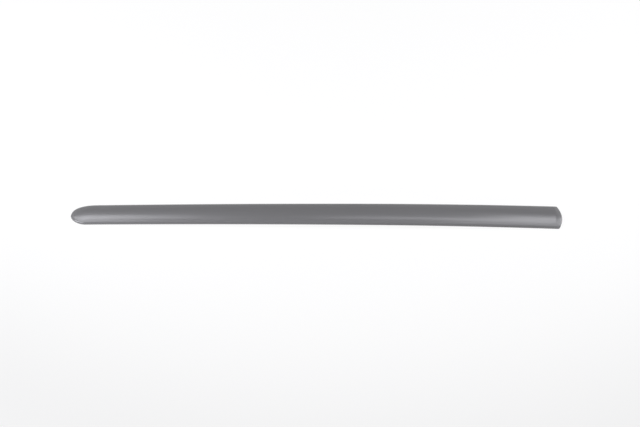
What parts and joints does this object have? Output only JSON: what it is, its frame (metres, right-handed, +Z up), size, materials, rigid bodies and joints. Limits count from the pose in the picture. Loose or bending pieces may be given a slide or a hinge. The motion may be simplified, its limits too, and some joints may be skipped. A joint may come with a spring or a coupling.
{
  "type": "car body side moulding",
  "caption": "Crowned plastic trim strip for the side of a car's front door, with a round nose, a folded-over tail and a cored back whose flat lands take adhesive tape.",
  "frame": {"origin": "on the floor that the strip lies on, below the middle of its bounding box", "axes": "+X along the strip from the round nose to the folded-over tail, +Y across it to the far, less rounded flank, +Z up through the crown; the open back faces -Z"},
  "size_m": [1, 0.0528, 0.0205],
  "materials": {
    "satin_grey_plastic": "satin, fine moulded grain, coloured right through"
  },
  "bodies": {
    "root": {"moulding_strip": "satin_grey_plastic"}
  },
  "joints": []
}
